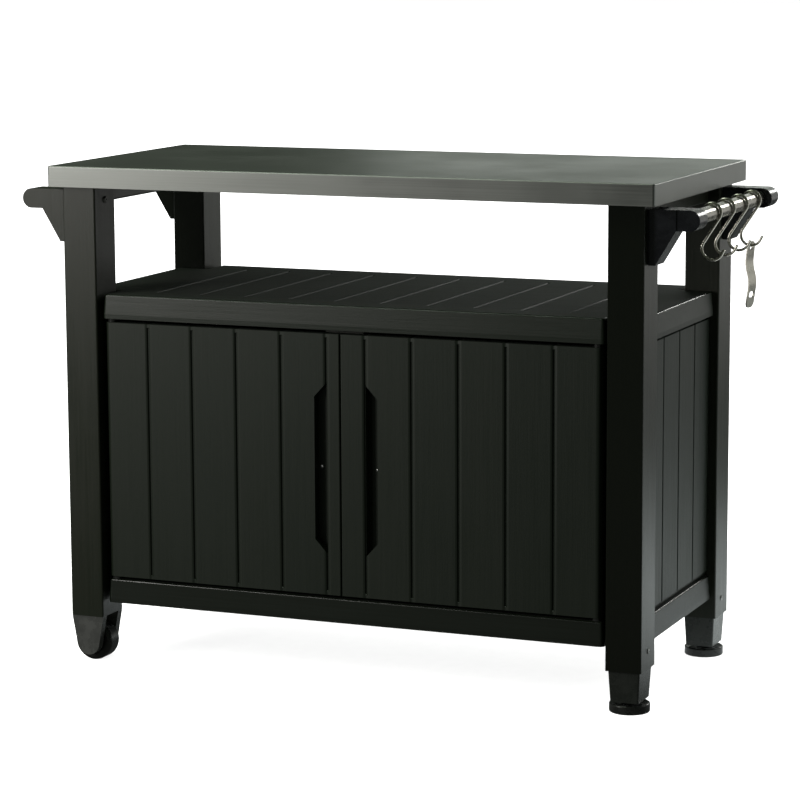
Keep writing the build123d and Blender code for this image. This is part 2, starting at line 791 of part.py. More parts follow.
def make_foot_pad(end):
    """Round pad with a short neck and a blind hole for the stud."""
    place = (sides["right"] * post_x, end * post_y)
    with BuildPart() as pad:
        with BuildSketch():
            with Locations(place):
                Circle(foot_radius)
        extrude(amount=foot_height)
        fillet(pad.edges().filter_by(GeomType.CIRCLE), foot_edge)
        with BuildSketch(Plane.XY.offset(foot_height)):
            with Locations(place):
                Circle(foot_neck_radius)
        extrude(amount=foot_neck_height)
        with BuildSketch(Plane.XY.offset(foot_height + foot_neck_height)):
            with Locations(place):
                Circle(stud_radius + fit_gap)
        extrude(amount=-stud_seat, mode=Mode.SUBTRACT)
    return pad.part


def make_foot_stud(end):
    """Steel stud from the pad up through the nut."""
    stud_bottom = foot_height + foot_neck_height - stud_seat
    with BuildPart() as stud:
        with BuildSketch(Plane.XY.offset(stud_bottom)):
            with Locations((sides["right"] * post_x, end * post_y)):
                Circle(stud_radius)
        extrude(amount=stud_top - stud_bottom)
        chamfer(stud.faces().sort_by(Axis.Z)[-1].edges(), stud_chamfer)
    return stud.part


for end_name, end in ends.items():
    save(make_fork(end), f"{end_name}_wheel_fork")
    save(make_wheel(end), f"{end_name}_wheel")
    save(make_axle(end), f"{end_name}_axle")
    save(make_socket(end), f"{end_name}_foot_socket")
    save(make_foot_pad(end), f"{end_name}_foot_pad")
    save(make_foot_stud(end), f"{end_name}_foot_stud")

# Nuts that the feet screw through
with BuildPart() as foot_nuts:
    with BuildSketch(Plane.XY.offset(socket_bottom + socket_floor - nut_recess)):
        with Locations(*[(sides["right"] * post_x, end * post_y) for end in ends.values()]):
            RegularPolygon(nut_flats / 2, 6, major_radius=False)
            Circle(stud_radius + fit_gap, mode=Mode.SUBTRACT)
    extrude(amount=nut_height)
save(foot_nuts.part, "foot_nuts")

# Screws that hold the forks and sockets in the posts
with BuildPart() as post_screws:
    for side in sides.values():
        for end in ends.values():
            with BuildSketch(Plane.YZ.offset(side * post_outer_x)):
                with Locations((end * post_y, screw_height)):
                    Circle(screw_radius)
            extrude(amount=-side * screw_length)
            with BuildSketch(Plane.YZ.offset(side * post_outer_x)):
                with Locations((end * post_y, screw_height)):
                    Circle(screw_head_radius)
            extrude(amount=side * screw_head_height)
save(post_screws.part, "post_screws")
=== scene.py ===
"""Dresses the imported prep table: resin, brushed and polished steel, screws and threaded feet."""

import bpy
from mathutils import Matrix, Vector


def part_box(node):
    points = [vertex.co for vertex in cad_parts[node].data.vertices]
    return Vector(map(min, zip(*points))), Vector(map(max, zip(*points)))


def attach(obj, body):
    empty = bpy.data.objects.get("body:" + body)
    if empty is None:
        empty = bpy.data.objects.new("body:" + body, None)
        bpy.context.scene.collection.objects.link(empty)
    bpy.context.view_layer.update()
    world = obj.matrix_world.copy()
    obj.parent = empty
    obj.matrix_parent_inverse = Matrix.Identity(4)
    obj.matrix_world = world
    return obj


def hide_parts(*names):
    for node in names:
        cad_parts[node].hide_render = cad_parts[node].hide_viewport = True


bl_info = {
    "name": "Prep table",
    "version": (1, 0, 0),
    "blender": (4, 5, 0),
    "location": "View3D > Sidebar > Prep table",
    "description": "Finishes and fastener details for an outdoor prep table",
    "category": "Object",
}

import math

import bmesh
import bpy
from bpy.props import FloatProperty, FloatVectorProperty, IntProperty, PointerProperty
from mathutils import Matrix, Vector

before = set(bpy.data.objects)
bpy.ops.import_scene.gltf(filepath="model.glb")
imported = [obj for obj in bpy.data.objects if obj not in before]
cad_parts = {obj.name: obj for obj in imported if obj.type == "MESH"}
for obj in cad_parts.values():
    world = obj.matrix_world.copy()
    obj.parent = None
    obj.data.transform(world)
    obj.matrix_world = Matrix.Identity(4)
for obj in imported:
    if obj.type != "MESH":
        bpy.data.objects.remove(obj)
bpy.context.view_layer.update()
MM = 0.001

# CAD nodes by finish
UPRIGHT_NODES = (
    "front_left_post", "rear_left_post", "front_right_post", "rear_right_post", "door_stop",
    "front_left_bracket", "rear_left_bracket",
)
FORK_NODES = ("front_wheel_fork", "rear_wheel_fork")
SOCKET_NODES = ("front_foot_socket", "rear_foot_socket")
BRACKET_NODES = ("front_right_bracket", "rear_right_bracket")
BOARD_NODES = ("left_door", "right_door")
SIDE_BOARD_NODES = ("left_panel", "right_panel")
BACK_BOARD_NODES = ("back_panel",)
APRON_NODES = ("left_apron", "right_apron")
PAD_NODES = ("front_foot_pad", "rear_foot_pad", "left_door_pins", "right_door_pins")
WHEEL_NODES = ("front_wheel", "rear_wheel")
WIRE_NODES = ("hook_1", "hook_2", "hook_3", "hook_4")
ZINC_NODES = ("front_axle", "rear_axle", "foot_nuts")

# Boards: the doors' first joint and width, and how many the sides and the back have
DOOR_FIRST_JOINT = 36.5 * MM
DOOR_BOARD = 86.0 * MM
SIDE_BOARDS = 4
BACK_BOARDS = 11

# Added to the number of a board on either side of the middle, so that no two share a tone
BOARD_SIDE_STEP = 17.0

# Kinds of face, each by one part of the normal: where the kind begins, and where it is full
LOOKS_UP = (0.85, 0.97)
MOULDED_EDGE = (0.15, 0.4)
GROOVE_FLANK = (0.3, 0.5)
LOOKS_AHEAD = (-0.97, -0.99)
END_FACE = (0.6, 0.8)

# Patterns in the resin, per metre: streaks and fibres across and along the grain, clouds and pores
STREAKS, FIBRES = (230.0, 5.0), (900.0, 22.0)
CLOUDS, PORES = (3.0, 3.0, 3.0), (2600.0, 2600.0, 2600.0)
# Height at which scuffs on the resin begin, and under which they are full
SCUFFED = (0.30, 0.02)

# Glossy mouldings: nodes, darkest and lightest colour, and how worn they are, from 0 to 1
GLOSSES = {
    "pad_gloss": (PAD_NODES, (0.014, 0.015, 0.014), (0.060, 0.062, 0.058), 0.15),
    "wheel_gloss": (WHEEL_NODES, (0.008, 0.008, 0.008), (0.034, 0.034, 0.032), 1.0),
    "socket_gloss": (SOCKET_NODES, (0.024, 0.028, 0.024), (0.056, 0.061, 0.055), 0.15),
    # Painted light: the forks' colours are far lighter than the other black mouldings', standing in
    # for the lamp light on their fronts
    "fork_gloss": (FORK_NODES, (0.090, 0.092, 0.089), (0.190, 0.193, 0.186), 0.15),
    "bracket_gloss": (BRACKET_NODES, (0.005, 0.006, 0.009), (0.018, 0.021, 0.028), 0.15),
}

# Screws and bolts: heads, shanks, drives, and how far each is turned, in degrees
CORNERS = ((-1, -1), (-1, 1), (1, -1), (1, 1))
CROSS_TAPER = 0.6
PAN_RADIUS, PAN_RISE = 4.5 * MM, 2.0 * MM
PAN_SHANK, PAN_SHANK_DEPTH = 2.3 * MM, 9.0 * MM
PAN_CROSS = (2.4 * MM, 0.55 * MM)
PAN_TURN, PAN_TURN_STEP = 20.0, 53.0
PULL_SHANK_SHARE, PULL_SHANK_DEPTH = 0.5, 0.2 * MM
PULL_CROSS_SHARE, PULL_CROSS_HALF_WIDTH = 0.6, 0.4 * MM
PULL_TURN, PULL_TURN_STEP = 15.0, 40.0
BOLT_RISE, BOLT_SHANK = 3.5 * MM, 3.0 * MM
BOLT_HEXAGON, BOLT_HEXAGON_DEPTH, BOLT_HEXAGON_TAPER = 4.0 * MM, 2.0 * MM, 0.95
BOLT_TURN_STEP = 11.0
DOME_STEPS = 8
DOME_RIM_SHARE = 0.3

# Studs of the feet: sides of the core, steps in a turn of the thread, sides of its ridge,
# the share of the thread's depth that stands out of the core, and the bevel at the top
STUD_SEGMENTS = 32
THREAD_STEPS = 20
RIDGE_SIDES = 4
CORE_SHARE = 0.75
STUD_BEVEL = 1.0 * MM

# Camera: width of the sensor in millimetres, and how far it sees in metres
SENSOR_WIDTH = 36.0
VIEW_DEPTH = 100.0

# Floor: half its width, how much its darker grit dims it, where along Y its lighter part begins
# and ends, the share of its light that casts shadow, and the width of that light in degrees
FLOOR_EXTENT = 40.0
GRIT_SHARE = 0.985
BOUNCE_BEGINS = (-0.3, 0.4)
BOUNCE_ENDS = (2.1, 0.7)
FLOOR_SHADOW = 0.08
SUN_ANGLE = 120.0

# Studio lamps: place, target, width, height, power in watts, colour
LAMPS = {
    "left_lamp": ((-2.1, -2.5, 1.5), (-0.5, -0.25, 0.7), 0.9, 1.6, 42.0, (1.0, 0.98, 0.94)),
    "right_lamp": ((2.7, 0.9, 1.4), (0.5, 0.0, 0.5), 1.2, 1.8, 5.0, (1.0, 1.0, 1.0)),
    "backdrop_lamp": ((2.4, 4.2, 0.8), (0.3, 0.0, 0.6), 4.0, 1.6, 10.5, (1.0, 1.0, 0.97)),
    "back_lamp": ((-0.26, 3.4, 1.5), (0.0, 0.0, 0.9), 2.4, 0.8, 6.5, (0.95, 1.0, 0.94)),
    "edge_lamp": ((1.3, 3.4, 1.8), (0.5, 0.0, 0.8), 0.5, 0.5, 14.0, (1.0, 1.0, 0.97)),
    "ceiling_lamp": ((-1.1, -0.6, 3.5), (0.0, -0.2, 0.5), 2.0, 1.6, 30.0, (0.88, 1.0, 0.84)),
}
# Pieces that a lamp leaves in the shade
SHADED = {"left_lamp": ("rear_left_post", "rear_left_bracket", "front_right_post")}
# Lamp that lights the screws in the pulls alone
PULL_LAMP = ((-1.2, -2.4, 1.1), (0.0, -0.24, 0.4), 0.3, 0.3, 14.0, (1.0, 1.0, 1.0))


class Value:
    """A node's output that takes Python's operators."""

    def __init__(self, nodes, socket):
        self.nodes = nodes
        self.socket = socket

    def maths(self, operation, first, second):
        return self.nodes.node("ShaderNodeMath", {"operation": operation}, {0: first, 1: second})

    def __add__(self, other):
        return self.maths("ADD", self, other)

    __radd__ = __add__

    def __sub__(self, other):
        return self.maths("SUBTRACT", self, other)

    def __rsub__(self, other):
        return self.maths("SUBTRACT", other, self)

    def __mul__(self, other):
        return self.maths("MULTIPLY", self, other)

    __rmul__ = __mul__

    def __truediv__(self, other):
        return self.maths("DIVIDE", self, other)

    def __abs__(self):
        return self.maths("ABSOLUTE", self, 0.0)

    def __floor__(self):
        return self.maths("FLOOR", self, 0.0)


class Nodes:
    """Adds nodes to one tree: settings first, then the values or links of the sockets."""

    def __init__(self, tree):
        self.tree = tree

    def node(self, kind, settings=None, sockets=None, output=0):
        made = self.tree.nodes.new(kind)
        for key, value in (settings or {}).items():
            setattr(made, key, value)
        for key, value in (sockets or {}).items():
            if isinstance(value, (Value, list)):
                for source in value if isinstance(value, list) else [value]:
                    self.tree.links.new(source.socket, made.inputs[key])
            else:
                made.inputs[key].default_value = value
        return Value(self, made.outputs[output]) if made.outputs else None


class Finish(Nodes):
    """One material, with the coordinates and patterns that the finishes share."""

    def __init__(self, name):
        self.material = bpy.data.materials.new(name)
        self.material.use_nodes = True
        self.material.node_tree.nodes.clear()
        super().__init__(self.material.node_tree)
        self.place = self.node("ShaderNodeTexCoord", output="Object")

    def axis(self, index):
        return self.node("ShaderNodeSeparateXYZ", None, {0: self.place}, output=index)

    def noise(self, stretch, detail=4.0, roughness=0.6, low=0.3, high=0.7):
        """Noise from 0 to 1 over the object, scaled per metre along each axis."""
        scaled = self.node(
            "ShaderNodeVectorMath", {"operation": "MULTIPLY"}, {0: self.place, 1: stretch},
        )
        raw = self.node(
            "ShaderNodeTexNoise", None,
            {"Vector": scaled, "Scale": 1.0, "Detail": detail, "Roughness": roughness},
        )
        return self.spread(raw, low, high)

    def spread(self, value, low, high, start=0.0, end=1.0):
        """A value from start to end, eased, as another goes from low to high."""
        limits = {"From Min": low, "From Max": high, "To Min": start, "To Max": end}
        eased = {"clamp": True, "interpolation_type": "SMOOTHSTEP"}
        return self.node("ShaderNodeMapRange", eased, {"Value": value, **limits})

    def mix(self, factor, first, second):
        return self.node(
            "ShaderNodeMix", {"data_type": "RGBA"},
            {0: factor, 6: opaque(first), 7: opaque(second)}, output=2,
        )

    def bump(self, height, strength, distance):
        return self.node(
            "ShaderNodeBump", None, {"Strength": strength, "Distance": distance, "Height": height},
        )

    def surface(self, **sockets):
        named = {key.replace("_", " ").title(): value for key, value in sockets.items()}
        shader = self.node("ShaderNodeBsdfPrincipled", None, named)
        self.node("ShaderNodeOutputMaterial", {"is_active_output": True}, {"Surface": shader})
        return self.material


def opaque(colour):
    """A colour property or value as a Mix node takes it."""
    return colour if isinstance(colour, Value) else (*colour[:3], 1.0)


def dimmed(colour, share):
    """A colour's darker tone."""
    return tuple(channel * share for channel in colour)


class ResinSettings(bpy.types.PropertyGroup):
    """Dark moulded resin."""

    dark: FloatVectorProperty(
        name="Dark grain", description="Colour in the hollows of the grain", subtype="COLOR",
        default=(0.0046, 0.0114, 0.0044), min=0.0, max=1.0,
    )
    light: FloatVectorProperty(
        name="Light grain", description="Colour on the ridges of the grain", subtype="COLOR",
        default=(0.0126, 0.0184, 0.0100), min=0.0, max=1.0,
    )
    board_roughness: FloatProperty(
        name="Board roughness", description="Mean roughness of the boards",
        default=0.50, min=0.0, max=1.0,
    )
    deck_roughness: FloatProperty(
        name="Deck roughness", description="Mean roughness of the faces that look up",
        default=0.72, min=0.0, max=1.0,
    )
    post_roughness: FloatProperty(
        name="Post roughness", description="Mean roughness of the posts",
        default=0.35, min=0.0, max=1.0,
    )
    tray_roughness: FloatProperty(
        name="Tray roughness", description="Mean roughness of the shelf and base fascias",
        default=0.42, min=0.0, max=1.0,
    )
    # Painted light: the posts, aprons and core take the boards' resin lightened by these shares, a
    # lit copy of the one resin
    post_painted_light: FloatVectorProperty(
        name="Post shade",
        description="Share of the boards' red, green and blue that the posts have",
        default=(2.1, 1.45, 1.75), min=0.0,
    )
    base_roughness: FloatProperty(
        name="Base roughness", description="Roughness of the base's front",
        default=0.85, min=0.0, max=1.0,
    )
    # Painted shade: the base takes the boards' resin darkened by these shares, a shaded copy of the
    # one resin
    base_painted_shade: FloatVectorProperty(
        name="Base shade", description="Share of the boards' red, green and blue that the base has",
        default=(0.65, 0.65, 0.65), min=0.0,
    )
    rim: FloatVectorProperty(
        name="Deck rim", description="Where the shelf's rim begins and ends, along X and along Y",
        default=(470.0 * MM, 490.0 * MM, 210.0 * MM, 230.0 * MM), size=4, unit="LENGTH",
    )
    flank_share: FloatProperty(
        name="Flank share", description="How far the deck's groove flanks are as rough as the deck",
        default=0.5, min=0.0, max=1.0,
    )
    edge_roughness: FloatProperty(
        name="Edge roughness", description="Roughness of the moulded edges",
        default=0.20, min=0.0, max=1.0,
    )
    grain_contrast: FloatProperty(
        name="Grain contrast", description="How much the grain differs in tone",
        default=0.35, min=0.0, max=1.0,
    )
    joint_reach: FloatProperty(
        name="Joint reach", description="How far from a joint a board's edge is rounded",
        default=6.5 * MM, unit="LENGTH",
    )
    joint_round: FloatProperty(
        name="Joint rounding", description="Drop of a board's rounded edge",
        default=1.4 * MM, unit="LENGTH",
    )
    grain_depth: FloatProperty(
        name="Grain depth", description="Height of the moulded grain",
        default=0.25 * MM, unit="LENGTH",
    )
    board_spread: FloatProperty(
        name="Board spread", description="How much the boards differ in tone",
        default=0.35, min=0.0, max=1.0,
    )


class SteelSettings(bpy.types.PropertyGroup):
    """Worktop sheet, rail, hooks and fasteners."""

    sheet: FloatVectorProperty(
        name="Worktop", description="Colour of the brushed sheet", subtype="COLOR",
        default=(0.30, 0.31, 0.295), min=0.0, max=1.0,
    )
    polished: FloatVectorProperty(
        name="Polished", description="Colour of the rail", subtype="COLOR",
        default=(0.44, 0.42, 0.38), min=0.0, max=1.0,
    )
    bright: FloatVectorProperty(
        name="Bright", description="Colour of the hooks and the opener", subtype="COLOR",
        default=(0.74, 0.71, 0.63), min=0.0, max=1.0,
    )
    zinc: FloatVectorProperty(
        name="Zinc", description="Colour of the plated fasteners", subtype="COLOR",
        default=(0.44, 0.44, 0.43), min=0.0, max=1.0,
    )
    sheet_roughness: FloatProperty(
        name="Worktop roughness", description="Least roughness of the sheet",
        default=0.34, min=0.0, max=1.0,
    )
    brush_lines: FloatProperty(
        name="Brush lines", description="Brushed lines in a metre", default=1300.0, min=0.0,
    )
    brush_depth: FloatProperty(
        name="Brush depth", description="Depth of the brushed lines",
        default=0.04 * MM, unit="LENGTH",
    )


class FastenerSettings(bpy.types.PropertyGroup):
    """Screw heads, bolt heads and foot threads."""

    drive_depth: FloatProperty(
        name="Drive depth", description="Depth of the recess in a screw head",
        default=1.1 * MM, unit="LENGTH",
    )
    head_segments: IntProperty(
        name="Head segments", description="Sides of a screw head", default=40, min=12, max=96,
    )
    thread_pitch: FloatProperty(
        name="Thread pitch", description="Rise of the foot's thread in one turn",
        default=1.5 * MM, unit="LENGTH",
    )
    thread_depth: FloatProperty(
        name="Thread depth", description="Depth of the foot's thread",
        default=0.8 * MM, unit="LENGTH",
    )


class StageSettings(bpy.types.PropertyGroup):
    """Camera, floor and lights."""

    eye: FloatVectorProperty(
        name="Camera", description="Place of the camera", subtype="TRANSLATION", unit="LENGTH",
        default=(2.04832, -4.93825, 1.32955),
    )
    turn: FloatVectorProperty(
        name="Turn", description="Yaw, pitch and roll of the camera",
        subtype="EULER", unit="ROTATION",
        default=(math.radians(22.531), math.radians(-9.112), math.radians(-0.269)),
    )
    lens: FloatProperty(
        name="Lens", description="Focal length on a 36 mm sensor, in millimetres",
        default=135.246, min=1.0,
    )
    floor: FloatVectorProperty(
        name="Floor", description="Colour of the studio floor", subtype="COLOR",
        default=(0.82, 0.82, 0.82), min=0.0, max=1.0,
    )
    bounce: FloatVectorProperty(
        name="Floor bounce", description="Colour of the floor as the table reflects it",
        subtype="COLOR", default=(0.030, 0.031, 0.029), min=0.0, max=1.0,
    )
    back_bounce: FloatVectorProperty(
        name="Back bounce",
        description="Colour of the floor behind the table as the table reflects it",
        subtype="COLOR", default=(0.40, 0.43, 0.43), min=0.0, max=1.0,
    )
    power: FloatProperty(
        name="Lamp power", description="Share of the studio lamps' power", default=1.0, min=0.0,
    )
    floor_light: FloatProperty(
        name="Floor light", description="Strength of the light that falls on the floor alone",
        default=7.6, min=0.0,
    )
    fill_colour: FloatVectorProperty(
        name="Fill colour", description="Colour of the even light from all sides", subtype="COLOR",
        default=(0.80, 1.0, 0.75), min=0.0, max=1.0,
    )
    fill: FloatProperty(
        name="Fill light", description="Strength of the even light from all sides",
        default=0.06, min=0.0,
    )


class TableSettings(bpy.types.PropertyGroup):
    """All settings of the prep table."""

    resin: PointerProperty(type=ResinSettings)
    steel: PointerProperty(type=SteelSettings)
    fasteners: PointerProperty(type=FastenerSettings)
    stage: PointerProperty(type=StageSettings)


def dress(names, material):
    """Give CAD nodes a material in place of the imported one."""
    for name in names:
        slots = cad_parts[name].data.materials
        slots.clear()
        slots.append(material)


def grain_stretch(along, across_scale, along_scale):
    """Scales per metre for a pattern that runs along one axis."""
    return tuple(along_scale if i == along else across_scale for i in range(3))


def resin_finish(
    name, along, roughness, shade=(1.0, 1.0, 1.0), boards=None, deck=False, front=None,
):
    """Satin resin with a wood grain along one axis, and a tone for each board if it has any.

    boards holds the axis across the boards, the place of the first joint and the width of a board.
    A deck has its boards on top alone, and glossy edges on its rim alone. Faces that look up are
    rougher, and moulded edges glossier. front is the roughness of the faces that look to the front,
    where it differs.
    """
    settings = bpy.context.scene.prep_table.resin
    # shade lightens or darkens the resin's colour: painted light on the posts, aprons and core,
    # painted shade on the base
    dark = [part * share for part, share in zip(settings.dark, shade)]
    light = [part * share for part, share in zip(settings.light, shade)]
    finish = Finish(name)
    normal = finish.node("ShaderNodeTexCoord", output="Normal")
    lift = finish.node("ShaderNodeSeparateXYZ", None, {0: normal}, output=2)
    upward = finish.spread(lift, *LOOKS_UP)
    edge = finish.spread(lift, *MOULDED_EDGE) * (1.0 - upward)
    if deck:
        rim_x = finish.spread(abs(finish.axis(0)), *settings.rim[:2])
        rim_y = finish.spread(abs(finish.axis(1)), *settings.rim[2:])
        rim = rim_x.maths("MAXIMUM", rim_x, rim_y)
        edge = edge * rim
        flank = settings.flank_share * finish.spread(lift, *GROOVE_FLANK) * (1.0 - rim)
        upward = rim.maths("MAXIMUM", upward, flank)
    streaks = finish.noise(grain_stretch(along, *STREAKS), detail=5.0)
    fibres = finish.noise(grain_stretch(along, *FIBRES), detail=3.0)
    clouds = finish.noise(CLOUDS, detail=3.0)
    pores = finish.noise(PORES, detail=2.0)
    grain = 0.65 * streaks + 0.35 * fibres
    tone = 0.35 + settings.grain_contrast * 0.7 * (grain - 0.5) + 0.20 * clouds
    height = settings.grain_depth * (0.2 * streaks + 0.15 * fibres + 0.1 * pores)
    if boards:
        axis, first, width = boards
        across = finish.axis(axis)
        side = across.maths("SIGN", across, 0.0)
        place = (abs(across) - first) / width
        index = math.floor(place) + BOARD_SIDE_STEP * side
        board_tone = finish.node(
            "ShaderNodeTexWhiteNoise", {"noise_dimensions": "1D"}, {"W": index},
        )
        spread = settings.board_spread * (board_tone - 0.5)
        tone = tone + (spread * upward if deck else spread)
        if not deck:
            from_joint = abs(place - math.floor(place + 0.5)) * width
            reach, drop = settings.joint_reach, settings.joint_round
            height = height + finish.spread(from_joint, 0.0, reach, 0.0, drop)
    if front:
        facing = finish.node("ShaderNodeSeparateXYZ", None, {0: normal}, output=1)
        roughness = roughness + (front - roughness) * finish.spread(facing, *LOOKS_AHEAD)
    altitude = finish.axis(2)
    scuffs = finish.noise((45.0, 45.0, 12.0), detail=6.0, roughness=0.7, low=0.58, high=0.72)
    wear = scuffs * finish.spread(altitude, *SCUFFED) * 0.35
    rougher = (settings.deck_roughness - roughness) * upward
    glossier = (settings.edge_roughness - roughness) * edge
    return finish.surface(
        base_color=finish.mix(tone + wear, dark, light),
        roughness=roughness - 0.02 + rougher + glossier
        + 0.06 * streaks + 0.05 * clouds - 0.06 * pores,
        normal=finish.bump(height, 1.0, 1.0),
    )


class PREPTABLE_OT_resin(bpy.types.Operator):
    """Finish the posts, boards, trays, beams and brackets in dark resin"""

    bl_idname = "preptable.resin"
    bl_label = "Resin pieces"

    def execute(self, context):
        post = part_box("front_right_post")
        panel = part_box("right_panel")
        bay = post[0].x
        side_width = (panel[1].y - panel[0].y) / SIDE_BOARDS
        back_width = 2 * bay / BACK_BOARDS
        back_boards = (0, back_width / 2, back_width)
        boards = (
            ("door_boards", BOARD_NODES, (0, DOOR_FIRST_JOINT, DOOR_BOARD)),
            ("side_boards", SIDE_BOARD_NODES, (1, 0.0, side_width)),
            ("back_boards", BACK_BOARD_NODES, back_boards),
        )
        settings = context.scene.prep_table.resin
        rough, tray = settings.board_roughness, settings.tray_roughness
        smooth, shade = settings.post_roughness, settings.post_painted_light
        for name, nodes, division in boards:
            dress(nodes, resin_finish(name, 2, rough, boards=division))
        dress(("shelf",), resin_finish("shelf_resin", 0, tray, boards=back_boards, deck=True))
        # The base in the darkened copy of the resin, a painted shade
        base = resin_finish(
            "base_resin", 0, tray, settings.base_painted_shade, front=settings.base_roughness,
        )
        dress(("base",), base)
        # Aprons, posts and core in the lightened copy of the resin, a painted light
        dress(APRON_NODES, resin_finish("apron_resin", 1, smooth, shade))
        dress(UPRIGHT_NODES, resin_finish("post_resin", 2, smooth, shade))
        dress(("top_core",), resin_finish("core_resin", 0, rough, shade))
        return {"FINISHED"}


def brushed_finish(name, colour, roughness, lines, depth):
    """Brushed steel whose lines run along X, or along Y on faces that look along X."""
    finish = Finish(name)
    normal = finish.node("ShaderNodeTexCoord", output="Normal")
    facing = abs(finish.node("ShaderNodeSeparateXYZ", None, {0: normal}, output=0))
    end_face = finish.spread(facing, *END_FACE)
    long_lines = finish.noise((2.5, lines, lines), detail=3.0)
    end_lines = finish.noise((lines, 2.5, lines), detail=3.0)
    brush = long_lines * (1.0 - end_face) + end_lines * end_face
    smudge = finish.noise((5.0, 7.0, 5.0), detail=4.0)
    scratch = finish.noise((14.0, 420.0, 420.0), detail=6.0, roughness=0.75, low=0.62, high=0.74)
    tone = 0.55 * brush + 0.25 * smudge - 0.20 * scratch
    return finish.surface(
        base_color=finish.mix(tone, dimmed(colour, 0.72), colour),
        metallic=1.0,
        roughness=roughness + 0.10 * brush + 0.08 * smudge - 0.06 * scratch,
        normal=finish.bump(brush - 0.5 * scratch, 0.25, depth),
    )


def polished_finish(name, colour, along):
    """Polished steel with faint drawing lines along one axis and a few hazy spots."""
    finish = Finish(name)
    lines = finish.noise(grain_stretch(along, 1500.0, 9.0), detail=3.0)
    haze = finish.noise((60.0, 60.0, 60.0), detail=5.0)
    return finish.surface(
        base_color=finish.mix(0.5 * lines + 0.4 * haze, dimmed(colour, 0.80), colour),
        metallic=1.0,
        roughness=0.18 + 0.07 * lines + 0.07 * haze,
        normal=finish.bump(lines, 0.15, 0.02 * MM),
    )


def brushed_opener(colour):
    """Brushed strip of the opener, with lines across its width."""
    finish = Finish("opener_steel")
    lines = finish.noise((1400.0, 12.0, 1400.0), detail=3.0)
    haze = finish.noise((80.0, 80.0, 80.0), detail=4.0)
    return finish.surface(
        base_color=finish.mix(0.6 * lines + 0.3 * haze, dimmed(colour, 0.75), colour),
        metallic=1.0,
        roughness=0.24 + 0.10 * lines + 0.06 * haze,
        normal=finish.bump(lines, 0.2, 0.03 * MM),
    )


class PREPTABLE_OT_worktop(bpy.types.Operator):
    """Finish the folded sheet of the worktop in brushed steel"""

    bl_idname = "preptable.worktop"
    bl_label = "Worktop"

    def execute(self, context):
        steel = context.scene.prep_table.steel
        finish = brushed_finish(
            "worktop_steel", steel.sheet, steel.sheet_roughness,
            steel.brush_lines, steel.brush_depth,
        )
        dress(("worktop",), finish)
        return {"FINISHED"}


class PREPTABLE_OT_bars(bpy.types.Operator):
    """Finish the towel bar, the hook rail, the hooks and the opener"""

    bl_idname = "preptable.bars"
    bl_label = "Bars, hooks and opener"

    def execute(self, context):
        settings = context.scene.prep_table
        dress(("hook_rail",), polished_finish("rail_steel", settings.steel.polished, 1))
        dress(WIRE_NODES, polished_finish("wire_steel", settings.steel.bright, 2))
        dress(("bottle_opener",), brushed_opener(settings.steel.bright))
        coat = Finish("bar_coat")
        peel = coat.noise((700.0, 700.0, 700.0), detail=2.0)
        rubs = coat.noise((90.0, 14.0, 90.0), detail=5.0, low=0.5, high=0.75)
        dress(("towel_bar",), coat.surface(
            base_color=coat.mix(0.4 * rubs + 0.2 * peel, settings.resin.dark, settings.resin.light),
            roughness=0.38 + 0.12 * rubs - 0.06 * peel,
            normal=coat.bump(peel, 0.2, 0.05 * MM),
        ))
        return {"FINISHED"}


def gloss_finish(name, dark, light, worn):
    """Glossy moulding, scuffed dull as far as it is worn."""
    finish = Finish(name)
    flow = finish.noise((40.0, 40.0, 40.0), detail=4.0)
    scuff = finish.noise((220.0, 220.0, 220.0), detail=6.0, roughness=0.7, low=0.5, high=0.7)
    return finish.surface(
        base_color=finish.mix(0.4 * flow + 0.6 * worn * scuff, dark, light),
        roughness=0.22 + 0.10 * flow + 0.35 * worn * scuff,
        normal=finish.bump(0.4 * flow + worn * scuff, 0.2, 0.08 * MM),
    )


def zinc_finish():
    """Zinc plating with a fine spangle and a faint haze."""
    colour = bpy.context.scene.prep_table.steel.zinc
    finish = Finish("zinc_steel")
    spangle = finish.node(
        "ShaderNodeTexVoronoi", None, {"Vector": finish.place, "Scale": 900.0}, output="Color",
    )
    grain = finish.node("ShaderNodeSeparateColor", None, {0: spangle}, output=0)
    haze = finish.noise((120.0, 120.0, 120.0), detail=5.0)
    return finish.surface(
        base_color=finish.mix(0.5 * grain + 0.4 * haze, dimmed(colour, 0.62), colour),
        metallic=1.0,
        roughness=0.30 + 0.14 * grain + 0.10 * haze,
        normal=finish.bump(grain, 0.12, 0.02 * MM),
    )


class PREPTABLE_OT_wheels_and_feet(bpy.types.Operator):
    """Finish the wheels, the feet, the rail's brackets and the plated pins"""

    bl_idname = "preptable.wheels_and_feet"
    bl_label = "Wheels and feet"

    def execute(self, context):
        for name, (nodes, dark, light, worn) in GLOSSES.items():
            dress(nodes, gloss_finish(name, dark, light, worn))
        dress(ZINC_NODES, zinc_finish())
        return {"FINISHED"}


def lathe(profile, segments):
    """Closed mesh turned about Z from points (radius, height), the first and last on the axis."""
    shape = bmesh.new()
    rings = []
    for radius, height in profile:
        if radius == 0.0:
            rings.append([shape.verts.new((0.0, 0.0, height))])
            continue
        ring = []
        for i in range(segments):
            angle = math.tau * i / segments
            x, y = radius * math.cos(angle), radius * math.sin(angle)
            ring.append(shape.verts.new((x, y, height)))
        rings.append(ring)
    for lower, upper in zip(rings, rings[1:]):
        for i in range(segments):
            corners = [lower[i % len(lower)], lower[(i + 1) % len(lower)]]
            corners += [upper[(i + 1) % len(upper)], upper[i % len(upper)]]
            shape.faces.new(list(dict.fromkeys(corners)))
    bmesh.ops.recalc_face_normals(shape, faces=shape.faces)
    return shape


